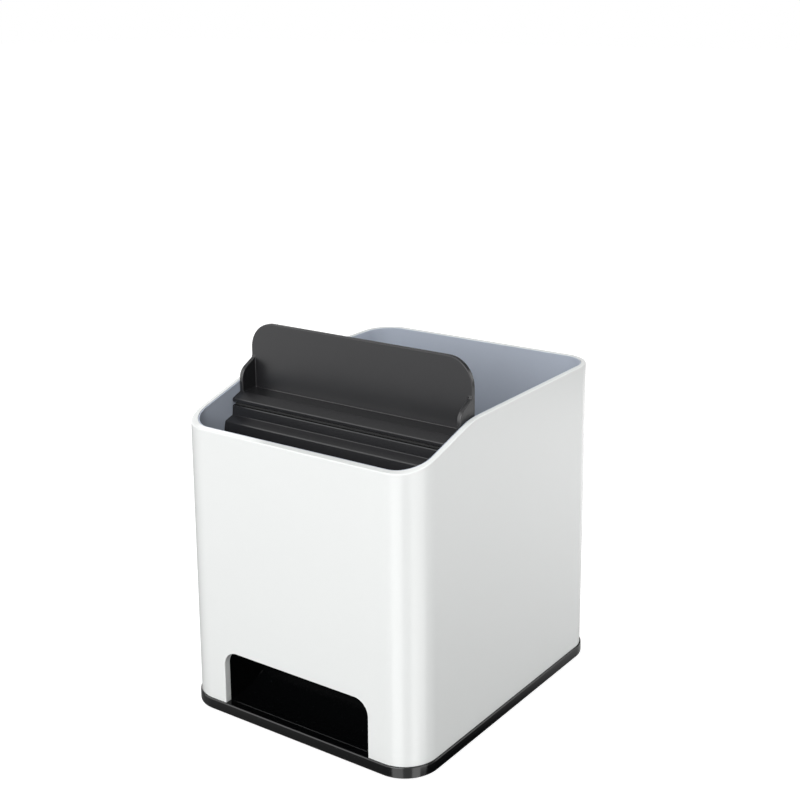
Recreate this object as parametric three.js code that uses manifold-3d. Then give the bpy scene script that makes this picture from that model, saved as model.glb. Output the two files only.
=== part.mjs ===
// A desk pen holder: a tall white box with a grey liner, a deep bay behind and a stand in front.
// The stand is a black cradle with a backrest, and a horn under it leads sound out of a low port.
// Millimetres, +Z up, the front face towards -Y, the origin on the desk under the middle.
import * as THREE from 'three';
import { mergeVertices } from 'three/addons/utils/BufferGeometryUtils.js';
import Module from 'manifold-3d';

const wasm = await Module();
wasm.setup();

// Outer box
const holderWidth = 90;
const holderDepth = 106.7;
const frontRimHeight = 93.7;
const shellWall = 1.5;
const shellFrontWall = 2.3;
const shellCornerRadius = 11;

// Rim line, seen from the side
const kneeRise = 9.1;
const kneeSetback = 31;
const kneeRadius = 24;
const rearRimRise = 10.6;
const rimBlendRadius = 10;

// Sound port in the front wall
const portWidth = 56.6;
const portTop = 22;
const portCornerRadius = 5;

// Base
const footProud = 0.4;
const baseTop = 4.05;
const baseProud = 0.5;
const baseFloorThickness = 1.8;
const baseLipHeight = 3;
const baseLipWall = 1.4;

// Liner
const linerWall = 0.4;
const linerDrop = 0.15;
const penFloorThickness = 1.4;

// Snap bumps between liner and shell
const bumpLength = 8;
const bumpHeight = 2.4;
const bumpReach = 0.5;
const bumpLift = 4;

// Cradle: a trough behind the front rim, with two steps up to the rear
const cradleWall = 1.6;
const troughDepth = 7.8;
const lowerRiserRise = 3.9;
const lowerRiserLean = 0.8;
const treadReach = 3.4;
const treadRise = 1.2;
const upperRiserRise = 3.25;
const upperRiserLean = 0.3;

// Backrest over the cradle
const backrestSetback = 32.9;
const backrestThickness = 1.5;
const earRise = 26.4;
const earRadius = 8.8;
const cheekThickness = 1.4;
const cheekReach = 6.2;
const cheekRise = 10.2;
const cheekFall = 3.3;
const cheekRadius = 4.5;
const ledgeReach = 3.6;
const ledgeThickness = 1.3;
const ledgeRise = 1.5;
const hookWidth = 5;
const hookThickness = 1.4;
const hookBarb = 0.8;
const hookBarbHeight = 1.2;
const hookPlaceShares = [-0.78, -0.28, 0.28, 0.78];

// Seal between backrest and cradle
const sealThickness = 1;
const sealInset = 0.7;
const sealWidth = 1.8;

// Sound inlet and horn
const inletWidth = 54;
const inletDepth = 6.5;
const inletSetback = 1.2;
const hornWall = 1.6;
const hornThroat = 8.5;
const hornSideGap = 0.3;
const hornLintel = 1.6;
const hornBendShare = 0.98;

// Pad on the trough's floor
const padThickness = 0.8;
const padMargin = 7;
const padEdgeGap = 0.6;

// Screws and feet
const screwDiameter = 2.8;
const screwLength = 9;
const screwTipLength = 1.6;
const screwHeadDiameter = 5.2;
const screwHeadHeight = 1.8;
const screwCrownShare = 0.8;
const crossWidth = 0.9;
const crossLength = 3.2;
const crossDepth = 1;
const screwSeat = 1.6;
const bossWallShare = 1.15;
const padWallShare = 0.8;
const bossCap = 1.3;
const bossSetback = 14;
const bossRibThickness = 1.6;
const footDiameter = 11;
const footRecess = 1;
const footChamfer = 0.3;

// Clearances, and the overrun that lets a cut pass a face
const slideGap = 0.1;
const fitGap = 0.2;
const cutGap = 0.3;
const overrun = 5;

// Steps in the round stretches
const cornerSteps = 9;
const roundSides = 24;
const hornSteps = 16;

// Faces that several pieces share
const frontFace = -holderDepth / 2;
const rearFace = holderDepth / 2;
const sideFace = holderWidth / 2;
const baseFloorTop = footProud + baseFloorThickness;
const lipTop = baseTop + baseLipHeight;
const sleeveBottom = lipTop + fitGap;
const rearRimHeight = frontRimHeight + rearRimRise;

// Inner faces of shell and liner, as distances in from the outer face of a side wall
const shellIn = shellWall;
const linerOut = shellIn + slideGap;
const linerIn = linerOut + linerWall;
const cradleIn = linerIn + slideGap;
const frontThickening = shellFrontWall - shellWall;

// Cradle levels and faces
const cradleSide = sideFace - cradleIn;
const cradleFront = frontFace + cradleIn + frontThickening;
const cradleFrontInner = cradleFront + cradleWall;
const backrestFront = frontFace + backrestSetback;
const cradleRear = backrestFront + backrestThickness;
const cheekFront = backrestFront - cheekReach;
const ledgeFront = cheekFront - ledgeReach;
const treadBack = ledgeFront - upperRiserLean;
const treadFront = treadBack - treadReach;
const troughBack = treadFront - lowerRiserLean;
const troughFloor = frontRimHeight - troughDepth;
const treadFrontHeight = troughFloor + lowerRiserRise;
const treadBackHeight = treadFrontHeight + treadRise;
const cradleTop = treadBackHeight + upperRiserRise;
const ledgeBottom = cradleTop + sealThickness;
const ledgeFrontTop = ledgeBottom + ledgeThickness;
const ledgeBackTop = ledgeFrontTop + ledgeRise;
const cheekNeck = ledgeBackTop + cheekRise;
const earTop = frontRimHeight + earRise;

// Horn levels and faces
const hornTop = troughFloor - cradleWall - fitGap;
const hornBottom = baseFloorTop + fitGap;
const hornFloor = hornBottom + hornWall;
const hornHalf = portWidth / 2 + hornSideGap;
const hornOuterHalf = hornHalf + hornWall;
const hornFrontFace = cradleFrontInner + fitGap;
const hornRear = cradleRear - cradleWall - fitGap - hornWall;
const hornMouthFace = frontFace + shellFrontWall + fitGap;
const hornMouthTop = portTop + hornSideGap;
const hornCollarTop = hornMouthTop + hornLintel;

// Screw places and levels
const headSpace = screwHeadHeight + 2 * fitGap;
const footSeat = footProud + footRecess;
const screwHeadTop = footSeat + fitGap + screwHeadHeight;
const padTop = footSeat + headSpace + screwSeat;
const bossBottom = padTop + fitGap;
const screwTip = screwHeadTop + screwLength;
const bossRadius = screwDiameter * bossWallShare;
const padRadius = screwHeadDiameter * padWallShare;
const holeRadius = screwDiameter / 2 + fitGap;
const holeTop = screwTip + cutGap;
const bossTop = holeTop + bossCap;
const screwX = (hornOuterHalf + cradleSide - cradleWall) / 2;
const screwY = rearFace - bossSetback;
const penFloor = bossTop;

function solidOf(geometry) {
  for (const attribute of ['normal', 'uv']) geometry.deleteAttribute(attribute);
  const merged = mergeVertices(geometry);
  const mesh = new wasm.Mesh({
    numProp: 3,
    vertProperties: new Float32Array(merged.attributes.position.array),
    triVerts: new Uint32Array(merged.index.array),
  });
  return new wasm.Manifold(mesh);
}

function geometryOf(solid) {
  const { vertProperties, triVerts } = solid.getMesh();
  const geometry = new THREE.BufferGeometry();
  geometry.setAttribute('position', new THREE.BufferAttribute(vertProperties, 3));
  geometry.setIndex(new THREE.BufferAttribute(triVerts, 1));
  geometry.computeVertexNormals();
  return geometry;
}

// An outline whose corners are [across, up, radius]; a corner without a radius stays sharp
function outline(corners) {
  const shape = new THREE.Shape();
  corners.forEach(([across, up, radius], index) => {
    const corner = new THREE.Vector2(across, up);
    const before = new THREE.Vector2(...corners.at(index - 1)).sub(corner).normalize();
    const after = new THREE.Vector2(...corners[(index + 1) % corners.length]).sub(corner).normalize();
    const goTo = (x, y) => (index ? shape.lineTo(x, y) : shape.moveTo(x, y));
    if (!radius) {
      goTo(across, up);
      return;
    }
    const halfAngle = Math.acos(before.dot(after)) / 2;
    const start = before.clone().multiplyScalar(radius / Math.tan(halfAngle));
    const end = after.clone().multiplyScalar(radius / Math.tan(halfAngle));
    const centre = before.add(after).normalize().multiplyScalar(radius / Math.sin(halfAngle));
    const turnsRight = start.cross(end) > 0;
    goTo(across + start.x, up + start.y);
    shape.absarc(across + centre.x, up + centre.y, radius,
      start.sub(centre).angle(), end.sub(centre).angle(), turnsRight);
  });
  return shape;
}

const extruded = (shape, depth) =>
  new THREE.ExtrudeGeometry(shape, { depth, curveSegments: cornerSteps, bevelEnabled: false });

// A plan outline raised from bottom to top
const upright = (shape, bottom, top) =>
  solidOf(extruded(shape, top - bottom).translate(0, 0, bottom));

// A front outline (across X, up Z) carried from front to rear
const carriedBack = (shape, front, rear) =>
  solidOf(extruded(shape, rear - front).rotateX(Math.PI / 2).translate(0, rear, 0));

// A side outline (along Y, up Z) carried from left to right
function carriedAcross(shape, left, right) {
  const turn = new THREE.Matrix4().makeBasis(
    new THREE.Vector3(0, 1, 0), new THREE.Vector3(0, 0, 1), new THREE.Vector3(1, 0, 0));
  return solidOf(extruded(shape, right - left).applyMatrix4(turn).translate(left, 0, 0));
}

function block([left, front, bottom], [right, rear, top]) {
  const box = new THREE.BoxGeometry(right - left, rear - front, top - bottom);
  return solidOf(box.translate((left + right) / 2, (front + rear) / 2, (bottom + top) / 2));
}

function post(x, y, bottom, top, radius) {
  const round = new THREE.CylinderGeometry(radius, radius, top - bottom, roundSides);
  return solidOf(round.rotateX(Math.PI / 2).translate(x, y, (bottom + top) / 2));
}

const join = (...solids) => solids.reduce((whole, solid) => whole.add(solid));
const cut = (body, ...tools) => tools.reduce((whole, tool) => whole.subtract(tool), body);

// The box's plan at a distance in from its outer face; a negative distance stands proud
function plan(inset, frontInset = inset) {
  const x = sideFace - inset;
  const front = frontFace + frontInset;
  const rear = rearFace - inset;
  const radius = shellCornerRadius - inset;
  return outline([[-x, front, radius], [x, front, radius], [x, rear, radius], [-x, rear, radius]]);
}

// The plan of what lies inside the walls, of which the front one is thicker
const innerPlan = (inset) => plan(inset, inset + frontThickening);

// All that lies above the rim line, lowered by a drop
function aboveRim(drop) {
  const far = holderWidth + holderDepth;
  const front = frontRimHeight - drop;
  const rear = rearRimHeight - drop;
  const line = [
    [frontFace - overrun, front],
    [frontFace + shellFrontWall, front, rimBlendRadius],
    [frontFace + kneeSetback, front + kneeRise, kneeRadius],
    [rearFace - shellIn, rear],
    [rearFace + overrun, rear],
    [rearFace + overrun, rear + far],
    [frontFace - overrun, rear + far],
  ];
  return carriedAcross(outline(line), -far, far);
}

// Snap bumps on both side walls, or their pockets when a gap is given
function snapBumps(gap) {
  const bottom = sleeveBottom + bumpLift - gap;
  const top = sleeveBottom + bumpLift + bumpHeight + gap;
  const inner = sideFace - linerOut - slideGap;
  const outer = sideFace - linerOut + bumpReach + gap;
  const half = bumpLength / 2 + gap;
  const solids = [];
  for (const side of [-1, 1]) {
    for (const y of [-screwY / 2, screwY / 2]) {
      const [left, right] = side < 0 ? [-outer, -inner] : [inner, outer];
      solids.push(block([left, y - half, bottom], [right, y + half, top]));
    }
  }
  return join(...solids);
}

function outerShell() {
  const walls = cut(
    upright(plan(0), baseTop, rearRimHeight + overrun),
    upright(innerPlan(shellIn), baseTop - overrun, rearRimHeight + 2 * overrun),
  );
  const portOutline = outline([
    [-portWidth / 2, baseTop - overrun], [portWidth / 2, baseTop - overrun],
    [portWidth / 2, portTop, portCornerRadius], [-portWidth / 2, portTop, portCornerRadius],
  ]);
  const port = carriedBack(portOutline, frontFace - overrun, frontFace + overrun);
  return cut(walls, aboveRim(0), port, snapBumps(fitGap));
}

function innerLiner() {
  const outside = upright(innerPlan(linerOut), sleeveBottom, rearRimHeight + overrun);
  const inside = upright(innerPlan(linerIn), sleeveBottom - overrun, rearRimHeight + 2 * overrun);
  const floor = cut(
    upright(innerPlan(linerOut), penFloor - penFloorThickness, penFloor),
    block([-holderWidth, frontFace - overrun, 0], [holderWidth, cradleRear + fitGap, rearRimHeight]),
  );
  const bosses = [-screwX, screwX].map((x) => post(x, screwY, bossBottom, penFloor, bossRadius));
  const holes = [-screwX, screwX].map((x) => post(x, screwY, bossBottom - overrun, holeTop, holeRadius));
  const mouth = block(
    [-hornOuterHalf - fitGap, frontFace, 0],
    [hornOuterHalf + fitGap, cradleFront, hornCollarTop + fitGap],
  );
  const sleeve = cut(outside, inside, aboveRim(linerDrop));
  return cut(join(sleeve, floor, snapBumps(0), ...bosses), mouth, ...holes);
}

function basePlate() {
  const body = upright(plan(-baseProud), footProud, baseTop);
  const lip = upright(innerPlan(shellIn + fitGap), footProud, lipTop);
  const well = upright(innerPlan(shellIn + fitGap + baseLipWall), baseFloorTop, lipTop + overrun);
  const mouth = block(
    [-hornOuterHalf - fitGap, frontFace + shellFrontWall, baseFloorTop],
    [hornOuterHalf + fitGap, frontFace + shellFrontWall + baseLipWall + 2 * fitGap, lipTop + overrun],
  );
  const places = screwPlaces();
  const pads = places.map(([x, y]) => post(x, y, footProud, padTop, padRadius));
  const cuts = places.flatMap(([x, y]) => [
    post(x, y, footProud - overrun, footSeat, footDiameter / 2 + fitGap),
    post(x, y, 0, footSeat + headSpace, screwHeadDiameter / 2 + fitGap),
    post(x, y, 0, padTop + overrun, holeRadius),
  ]);
  return cut(join(cut(join(body, lip), well, mouth), ...pads), ...cuts);
}

function screwPlaces() {
  return [[-screwX, -screwY], [screwX, -screwY], [-screwX, screwY], [screwX, screwY]];
}

// The cradle's side outline, grown inwards by a wall for its hollow
function cradleOutline(inset, bottom) {
  return outline([
    [cradleFront + inset, bottom],
    [cradleRear - inset, bottom],
    [cradleRear - inset, cradleTop - inset],
    [ledgeFront + inset, cradleTop - inset],
    [treadBack + inset, treadBackHeight - inset],
    [treadFront + inset, treadFrontHeight - inset],
    [troughBack + inset, troughFloor - inset],
    [cradleFront + inset, troughFloor - inset],
  ]);
}

const hookPlaces = hookPlaceShares.map((share) => share * cradleSide);
const hookY = (ledgeFront + cradleRear) / 2;

function cradleHousing() {
  const outside = carriedAcross(cradleOutline(0, sleeveBottom), -cradleSide, cradleSide)
    .intersect(upright(innerPlan(cradleIn), 0, rearRimHeight));
  const inside = carriedAcross(
    cradleOutline(cradleWall, sleeveBottom - overrun), cradleWall - cradleSide, cradleSide - cradleWall)
    .intersect(upright(innerPlan(cradleIn + cradleWall), -overrun, rearRimHeight));
  const inlet = block(
    [-inletWidth / 2, cradleFrontInner + inletSetback, hornTop],
    [inletWidth / 2, cradleFrontInner + inletSetback + inletDepth, troughFloor + overrun],
  );
  const mouth = block(
    [-hornOuterHalf - fitGap, cradleFront - overrun, 0],
    [hornOuterHalf + fitGap, hornFrontFace, hornCollarTop + fitGap],
  );
  const slots = hookPlaces.map((x) => block(
    [x - hookWidth / 2 - cutGap, hookY - hookThickness / 2 - cutGap, cradleTop - cradleWall - overrun],
    [x + hookWidth / 2 + cutGap, hookY + hookThickness / 2 + hookBarb + cutGap, cradleTop + overrun],
  ));
  const bosses = [-1, 1].flatMap((side) => {
    const x = side * screwX;
    const wall = side * (cradleSide - cradleWall / 2);
    const ribTop = bossTop + bossCap;
    return [
      post(x, -screwY, bossBottom, ribTop, bossRadius),
      block(
        [Math.min(x, wall), -screwY - bossRibThickness / 2, sleeveBottom],
        [Math.max(x, wall), -screwY + bossRibThickness / 2, ribTop],
      ),
    ];
  });
  const holes = [-screwX, screwX].map((x) => post(x, -screwY, bossBottom - overrun, holeTop, holeRadius));
  return cut(join(cut(outside, inside), ...bosses), inlet, mouth, ...slots, ...holes);
}

function backrest() {
  const x = cradleSide;
  const plateOutline = outline([
    [-x, ledgeBottom], [x, ledgeBottom], [x, earTop, earRadius], [-x, earTop, earRadius],
  ]);
  const plate = carriedBack(plateOutline, backrestFront, cradleRear);
  const ledge = carriedAcross(outline([
    [ledgeFront, ledgeBottom], [cradleRear, ledgeBottom], [cradleRear, ledgeBackTop],
    [cheekFront, ledgeBackTop], [ledgeFront, ledgeFrontTop],
  ]), -x, x);
  const cheekOutline = outline([
    [cheekFront, ledgeBottom], [cradleRear, ledgeBottom], [cradleRear, cheekNeck],
    [backrestFront, cheekNeck], [cheekFront, cheekNeck - cheekFall, cheekRadius],
  ]);
  const cheeks = [
    carriedAcross(cheekOutline, -x, cheekThickness - x),
    carriedAcross(cheekOutline, x - cheekThickness, x),
  ];
  const barbTop = cradleTop - cradleWall - fitGap;
  const hooks = hookPlaces.map((place) => carriedAcross(outline([
    [hookY - hookThickness / 2, barbTop - hookBarbHeight],
    [hookY + hookThickness / 2, barbTop - hookBarbHeight],
    [hookY + hookThickness / 2 + hookBarb, barbTop],
    [hookY + hookThickness / 2, barbTop],
    [hookY + hookThickness / 2, ledgeBottom + ledgeThickness / 2],
    [hookY - hookThickness / 2, ledgeBottom + ledgeThickness / 2],
  ]), place - hookWidth / 2, place + hookWidth / 2));
  return join(plate, ledge, ...cheeks, ...hooks);
}

function jointSeal() {
  const ring = (inset) => block(
    [inset - cradleSide, ledgeFront + inset, cradleTop],
    [cradleSide - inset, cradleRear - inset, ledgeBottom],
  );
  const hollow = block(
    [sealInset + sealWidth - cradleSide, ledgeFront + sealInset + sealWidth, cradleTop - overrun],
    [cradleSide - sealInset - sealWidth, cradleRear - sealInset - sealWidth, ledgeBottom + overrun],
  );
  return cut(ring(sealInset), hollow);
}

// The horn's rear wall: it widens evenly by the same share down from the throat,
// then bends forward in a quarter ellipse into the floor. An outset moves it back and down.
function hornCurve(outset) {
  const reach = hornRear - cradleFrontInner;
  const bendHeight = hornFloor + reach * hornBendShare;
  const points = [];
  for (let step = 0; step <= hornSteps; step += 1) {
    const share = step / hornSteps;
    const depth = hornThroat * (reach / hornThroat) ** share;
    points.push([cradleFrontInner + depth + outset, hornTop + (bendHeight - hornTop) * share]);
  }
  for (let step = 1; step <= hornSteps; step += 1) {
    const turn = (step / hornSteps) * (Math.PI / 2);
    points.push([
      cradleFrontInner + (reach + outset) * Math.cos(turn),
      bendHeight - (bendHeight - hornFloor + outset) * Math.sin(turn),
    ]);
  }
  return points;
}

function hornBody() {
  const outerSide = outline([
    [hornFrontFace, hornTop],
    ...hornCurve(hornWall),
    [hornMouthFace, hornBottom],
    [hornMouthFace, hornCollarTop],
    [hornFrontFace, hornCollarTop],
  ]);
  const passage = hornCurve(0);
  const innerSide = outline([
    [frontFace - overrun, hornTop + overrun],
    [passage[0][0], hornTop + overrun],
    ...passage,
    [frontFace - overrun, hornFloor],
  ]);
  const lintel = block(
    [-hornHalf - overrun, hornMouthFace, hornMouthTop],
    [hornHalf + overrun, hornFrontFace + hornLintel, hornCollarTop],
  );
  const channel = cut(carriedAcross(innerSide, -hornHalf, hornHalf), lintel);
  return cut(carriedAcross(outerSide, -hornOuterHalf, hornOuterHalf), channel);
}

function slotPad() {
  const front = cradleFront + padEdgeGap;
  const x = inletWidth / 2 + padMargin;
  const sheet = block([-x, front, troughFloor], [x, troughBack - padEdgeGap, troughFloor + padThickness]);
  const opening = block(
    [-inletWidth / 2, cradleFrontInner + inletSetback, troughFloor - overrun],
    [inletWidth / 2, cradleFrontInner + inletSetback + inletDepth, troughFloor + overrun],
  );
  return cut(sheet, opening);
}

// A pan-head screw, its head's top face at the origin and its tip above
function screw() {
  const half = screwDiameter / 2;
  const head = screwHeadDiameter / 2;
  const profile = [
    [0, -screwHeadHeight], [head * screwCrownShare, -screwHeadHeight], [head, -screwHeadHeight / 2],
    [head, 0], [half, 0], [half, screwLength - screwTipLength], [0, screwLength],
  ].map(([radius, height]) => new THREE.Vector2(radius, height));
  const turned = solidOf(new THREE.LatheGeometry(profile, roundSides).rotateX(Math.PI / 2));
  const slot = (x, y) => block(
    [-x / 2, -y / 2, -screwHeadHeight - overrun],
    [x / 2, y / 2, crossDepth - screwHeadHeight],
  );
  return cut(turned, slot(crossLength, crossWidth), slot(crossWidth, crossLength));
}

// A rubber foot standing on the desk
function foot() {
  const radius = footDiameter / 2;
  const height = footProud + footRecess;
  const profile = [
    [0, 0], [radius - footChamfer, 0], [radius, footChamfer], [radius, height], [0, height],
  ].map(([across, up]) => new THREE.Vector2(across, up));
  return solidOf(new THREE.LatheGeometry(profile, roundSides).rotateX(Math.PI / 2));
}

const finish = (color, roughness, metalness = 0) =>
  new THREE.MeshStandardMaterial({ color, roughness, metalness });
const whiteGloss = finish('#f2f3f2', 0.2);
const greySatin = finish('#8f97a6', 0.4);
const blackGloss = finish('#17181b', 0.15);
const blackSatin = finish('#242427', 0.4);
const blackRubber = finish('#2b2b2c', 0.85);
const zincSteel = finish('#b8bcc0', 0.35, 1);

const holder = new THREE.Group();

function place(name, solid, material, [x, y, z] = [0, 0, 0]) {
  const mesh = new THREE.Mesh(geometryOf(solid), material);
  mesh.name = name;
  mesh.position.set(x, y, z);
  holder.add(mesh);
}

place('outer_shell', outerShell(), whiteGloss);
place('inner_liner', innerLiner(), greySatin);
place('base_plate', basePlate(), blackGloss);
place('cradle_housing', cradleHousing(), blackSatin);
place('backrest', backrest(), blackSatin);
place('joint_seal', jointSeal(), blackRubber);
place('horn_body', hornBody(), blackGloss);
place('slot_pad', slotPad(), blackRubber);
screwPlaces().forEach(([x, y], index) => {
  place(`base_screw_${index + 1}`, screw(), zincSteel, [x, y, screwHeadTop]);
  place(`foot_${index + 1}`, foot(), blackRubber, [x, y, 0]);
});

export default holder;
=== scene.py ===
# A desk pen holder with a stepped cradle, a raised backrest and a horn that leads sound to its port.
# Metres, in the frame's axes: +Z up, the front face towards -Y, the desk at Z = 0.
import math

import bpy
from bpy.props import FloatProperty, FloatVectorProperty, IntProperty, PointerProperty
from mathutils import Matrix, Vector


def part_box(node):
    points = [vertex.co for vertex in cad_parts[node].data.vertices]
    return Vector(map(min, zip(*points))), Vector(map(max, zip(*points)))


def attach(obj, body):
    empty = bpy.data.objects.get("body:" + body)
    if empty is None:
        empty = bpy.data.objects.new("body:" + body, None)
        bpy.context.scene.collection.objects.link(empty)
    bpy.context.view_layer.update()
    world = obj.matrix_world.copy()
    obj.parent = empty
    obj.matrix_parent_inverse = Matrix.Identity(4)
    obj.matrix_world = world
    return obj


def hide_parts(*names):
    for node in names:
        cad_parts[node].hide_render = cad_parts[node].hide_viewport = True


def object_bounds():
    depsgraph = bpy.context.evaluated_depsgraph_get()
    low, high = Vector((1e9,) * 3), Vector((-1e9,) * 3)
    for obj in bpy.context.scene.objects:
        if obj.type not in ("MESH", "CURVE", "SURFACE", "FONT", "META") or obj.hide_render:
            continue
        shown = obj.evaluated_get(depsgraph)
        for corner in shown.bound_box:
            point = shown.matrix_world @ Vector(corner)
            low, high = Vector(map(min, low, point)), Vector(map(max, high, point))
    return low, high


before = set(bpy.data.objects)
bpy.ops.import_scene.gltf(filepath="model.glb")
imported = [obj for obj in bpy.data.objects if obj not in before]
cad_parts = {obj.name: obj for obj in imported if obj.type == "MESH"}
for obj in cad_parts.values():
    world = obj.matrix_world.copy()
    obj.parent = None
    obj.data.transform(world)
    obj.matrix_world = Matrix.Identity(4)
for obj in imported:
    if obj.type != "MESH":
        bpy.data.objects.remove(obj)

bl_info = {
    "name": "Pen Holder with Sound Horn",
    "version": (1, 0, 0),
    "blender": (4, 5, 0),
    "location": "3D View > Sidebar > Pen Holder",
    "description": "Builds a desk pen holder, its stepped cradle and its sound horn, piece by piece",
    "category": "Add Mesh",
}

MM = 0.001
SAME_PLACE = 0.002 * MM
SHARP = math.radians(35)
FLAT = math.radians(0.2)
X, Y, Z = 0, 1, 2

# Faces round each rounding
EDGE_STEPS = 3
BASE_EDGE_STEPS = 4
RIM_STEPS = 5
INLET_STEPS = 6
FLOOR_STEPS = 6
PAD_STEPS = 8
PORT_STEPS = 14
CHEEK_STEPS = 16
EAR_STEPS = 24
POST_SIDES = 64

# Sockets of the Mix node when it mixes colours
MIX_FIRST, MIX_SECOND, MIX_RESULT = 6, 7, 2

# The frame's own places, which every new piece is built on
cad_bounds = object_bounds()
shell_low, shell_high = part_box("outer_shell")
liner_low, liner_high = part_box("inner_liner")
base_low, base_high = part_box("base_plate")
cradle_low, cradle_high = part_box("cradle_housing")
rest_low, rest_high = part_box("backrest")
seal_low, seal_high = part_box("joint_seal")
horn_low, horn_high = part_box("horn_body")
pad_low, pad_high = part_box("slot_pad")
foot_names = sorted(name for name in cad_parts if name.startswith("foot_"))
screw_names = sorted(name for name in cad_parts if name.startswith("base_screw_"))


def linear(hex_code):
    """An sRGB hex colour as the linear red, green and blue that Blender mixes."""
    shares = [int(hex_code[place:place + 2], 16) / 255 for place in (1, 3, 5)]
    return tuple(c / 12.92 if c <= 0.04045 else ((c + 0.055) / 1.055) ** 2.4 for c in shares)


def length(label, description, millimetres):
    """A size in metres with its default written in millimetres."""
    return FloatProperty(name=label, description=description, default=millimetres * MM,
                         min=0, precision=5, unit="LENGTH")


def colour(label, description, hex_code):
    """A colour with its default written as an sRGB hex code."""
    return FloatVectorProperty(name=label, description=description, default=linear(hex_code),
                               size=3, min=0, max=1, subtype="COLOR")


class ShellSizes(bpy.types.PropertyGroup):
    """Sizes of the white outer box."""
    wall: length("Wall", "Thickness of the side and rear walls", 1.5)
    front_wall: length("Front wall", "Thickness of the front wall", 2.3)
    corner_radius: length("Corner radius", "Radius of the box's upright corners", 11)
    front_rim: length("Front rim", "Height of the front rim over the desk", 93.7)
    knee_rise: length("Knee rise", "Height of the side rim's knee over the front rim", 9.1)
    knee_setback: length("Knee setback", "Distance of the knee behind the front face", 31)
    knee_radius: length("Knee radius", "Radius of the rim line at the knee", 24)
    blend_radius: length("Blend radius", "Radius where the side rim leaves the front rim", 10)
    rim_rounding: length("Rim rounding", "Radius of the rim's outer edge", 0.35)
    port_width: length("Port width", "Width of the sound port", 56.6)
    port_rounding: length("Port rounding", "Radius of the port's front edge", 0.2)
    port_top: length("Port top", "Height of the port's upper edge over the desk", 22)
    port_corner: length("Port corner", "Radius of the port's upper corners", 5)


class LinerSizes(bpy.types.PropertyGroup):
    """Sizes of the blue-grey sleeve in the box."""
    wall: length("Wall", "Thickness of the sleeve's wall", 0.4)
    rim_drop: length("Rim drop", "Distance of the sleeve's edge under the box's rim", 0.15)
    floor_top: length("Floor top", "Height of the rear bay's floor over the desk", 14)
    floor_thickness: length("Floor thickness", "Thickness of the rear bay's floor", 1.4)
    floor_fillet: length("Floor fillet", "Radius where the floor meets the walls", 1.8)
    edge_rounding: length("Edge rounding", "Radius of the sleeve's edges", 0.08)


class BaseSizes(bpy.types.PropertyGroup):
    """Sizes of the black base."""
    floor_top: length("Floor top", "Height of the base's floor over the desk", 2.2)
    lip_gap: length("Lip gap", "Gap between the shell's wall and the lip inside it", 0.2)
    lip_wall: length("Lip wall", "Thickness of the lip inside the shell", 1.4)
    edge_rounding: length("Edge rounding", "Radius of the base's outer edges", 0.45)
    inner_rounding: length("Inner rounding", "Radius of the base's inner edges", 0.1)
    hole_radius: length("Hole radius", "Radius of the holes that the screws pass", 1.6)
    pad_radius: length("Pad radius", "Radius of the raised pads round the screws", 4.16)
    pad_top: length("Pad top", "Height of those pads over the desk", 5.2)
    recess_gap: length("Recess gap", "Gap all round a foot in its recess", 0.2)


class CradleSizes(bpy.types.PropertyGroup):
    """Sizes of the lower black moulding."""
    wall: length("Wall", "Thickness of the moulding's walls", 1.6)
    trough_depth: length("Trough depth", "Depth of the trough's floor under the front rim", 7.8)
    trough_reach: length("Trough reach", "Depth of the trough from front to back", 15.7)
    lower_rise: length("Lower riser", "Height of the lower step's riser", 3.9)
    lower_lean: length("Lower lean", "Distance that the lower riser leans back", 0.8)
    tread_reach: length("Tread", "Depth of the sloping tread", 3.4)
    tread_rise: length("Tread rise", "Height that the tread climbs", 1.2)
    corner_radius: length("Corner radius", "Radius of the moulding's front corners", 8.9)
    step_rounding: length("Step rounding", "Radius of the steps' upper edges", 0.35)
    edge_rounding: length("Edge rounding", "Radius of the moulding's other edges", 0.2)
    inlet_width: length("Inlet width", "Width of the slot that lets the sound in", 54)
    inlet_reach: length("Inlet reach", "Depth of the slot from front to back", 6.5)
    inlet_setback: length("Inlet setback", "Distance of the slot behind the front wall", 1.2)
    inlet_corner: length("Inlet corner", "Radius of the slot's corners", 1.5)


class BackrestSizes(bpy.types.PropertyGroup):
    """Sizes of the upper black moulding."""
    plate: length("Plate", "Thickness of the upright plate", 1.5)
    ear_radius: length("Ear radius", "Radius of the plate's upper corners", 8.8)
    cheek: length("Cheek", "Thickness of the cheeks at both sides", 1.4)
    cheek_reach: length("Cheek reach", "Distance that a cheek stands in front of the plate", 6.2)
    cheek_rise: length("Cheek rise", "Height over the ledge where a cheek leaves the plate", 10.2)
    cheek_fall: length("Cheek fall", "Height that a cheek's top falls towards the front", 3.3)
    cheek_radius: length("Cheek radius", "Radius of a cheek's upper front corner", 4.5)
    neck_radius: length("Neck radius", "Radius of the hollow between a cheek and the plate", 1.2)
    ledge_edge: length("Ledge edge", "Height of the ledge's front edge", 1.3)
    ledge_rise: length("Ledge rise", "Height that the ledge's top climbs", 1.5)
    edge_rounding: length("Edge rounding", "Radius of the moulding's edges", 0.25)


class HornSizes(bpy.types.PropertyGroup):
    """Sizes of the horn that leads the sound to the port."""
    wall: length("Wall", "Thickness of the horn's walls", 1.6)
    throat: length("Throat", "Depth of the passage at its upper end", 8.5)
    side_gap: length("Side gap", "Distance of the passage past the port's edges", 0.3)
    front_gap: length("Front gap", "Gap between the horn and the cradle's front wall", 0.2)
    mouth_rise: length("Mouth rise", "Height over the port of the cuts that the horn passes", 2.1)
    bend_share: FloatProperty(name="Bend share", default=0.98, min=0.1, max=2, subtype="FACTOR",
                              description="Height of the bend as a share of the passage's depth")
    edge_rounding: length("Edge rounding", "Radius of the horn's edges", 0.1)


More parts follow.
